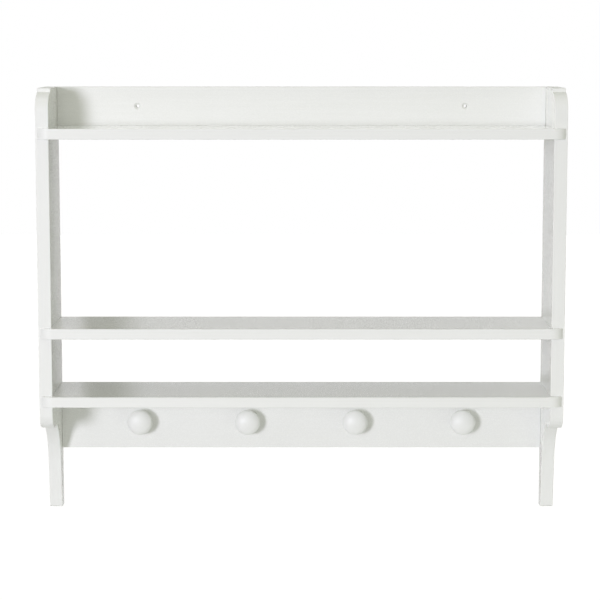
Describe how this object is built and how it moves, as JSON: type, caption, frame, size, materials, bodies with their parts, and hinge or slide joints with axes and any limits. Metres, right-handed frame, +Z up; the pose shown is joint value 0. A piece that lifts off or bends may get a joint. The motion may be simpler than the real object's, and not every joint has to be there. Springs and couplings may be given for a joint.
{
  "type": "shaker wall shelf with peg rail",
  "caption": "White painted wooden wall rack with open shelves between shaped side brackets and a rail of round turned pegs for hanging coats and bags.",
  "frame": {"origin": "midway between the two wall-screw holes of the top rail, on the plane of the wall", "axes": "+X to the right of someone who faces the rack, +Y into the wall, +Z up"},
  "size_m": [0.8, 0.13, 0.666],
  "materials": {
    "board_paint": "satin white paint on smooth board",
    "peg_paint": "semi-gloss white paint on turned wood",
    "dowel_beech": "bare beech",
    "screw_steel": "zinc plated"
  },
  "bodies": {
    "root": {"dowel_peg_rail_head_centre": "dowel_beech", "dowel_peg_rail_head_left": "dowel_beech", "dowel_peg_rail_head_right": "dowel_beech", "dowel_peg_rail_left_lower": "dowel_beech", "dowel_peg_rail_left_upper": "dowel_beech", "dowel_peg_rail_right_lower": "dowel_beech", "dowel_peg_rail_right_upper": "dowel_beech", "dowel_shelf_bottom_left_back": "dowel_beech", "dowel_shelf_bottom_left_front": "dowel_beech", "dowel_shelf_bottom_right_back": "dowel_beech", "dowel_shelf_bottom_right_front": "dowel_beech", "dowel_shelf_middle_left_back": "dowel_beech", "dowel_shelf_middle_left_front": "dowel_beech", "dowel_shelf_middle_right_back": "dowel_beech", "dowel_shelf_middle_right_front": "dowel_beech", "dowel_shelf_top_left_back": "dowel_beech", "dowel_shelf_top_left_front": "dowel_beech", "dowel_shelf_top_right_back": "dowel_beech", "dowel_shelf_top_right_front": "dowel_beech", "dowel_top_rail_foot_centre": "dowel_beech", "dowel_top_rail_foot_left": "dowel_beech", "dowel_top_rail_foot_right": "dowel_beech", "dowel_top_rail_left_lower": "dowel_beech", "dowel_top_rail_left_upper": "dowel_beech", "dowel_top_rail_right_lower": "dowel_beech", "dowel_top_rail_right_upper": "dowel_beech", "peg_1": "peg_paint", "peg_2": "peg_paint", "peg_3": "peg_paint", "peg_4": "peg_paint", "peg_rail": "board_paint", "peg_screw_1": "screw_steel", "peg_screw_2": "screw_steel", "peg_screw_3": "screw_steel", "peg_screw_4": "screw_steel", "shelf_bottom": "board_paint", "shelf_middle": "board_paint", "shelf_top": "board_paint", "side_panel_left": "board_paint", "side_panel_right": "board_paint", "top_rail": "board_paint"}
  },
  "joints": []
}
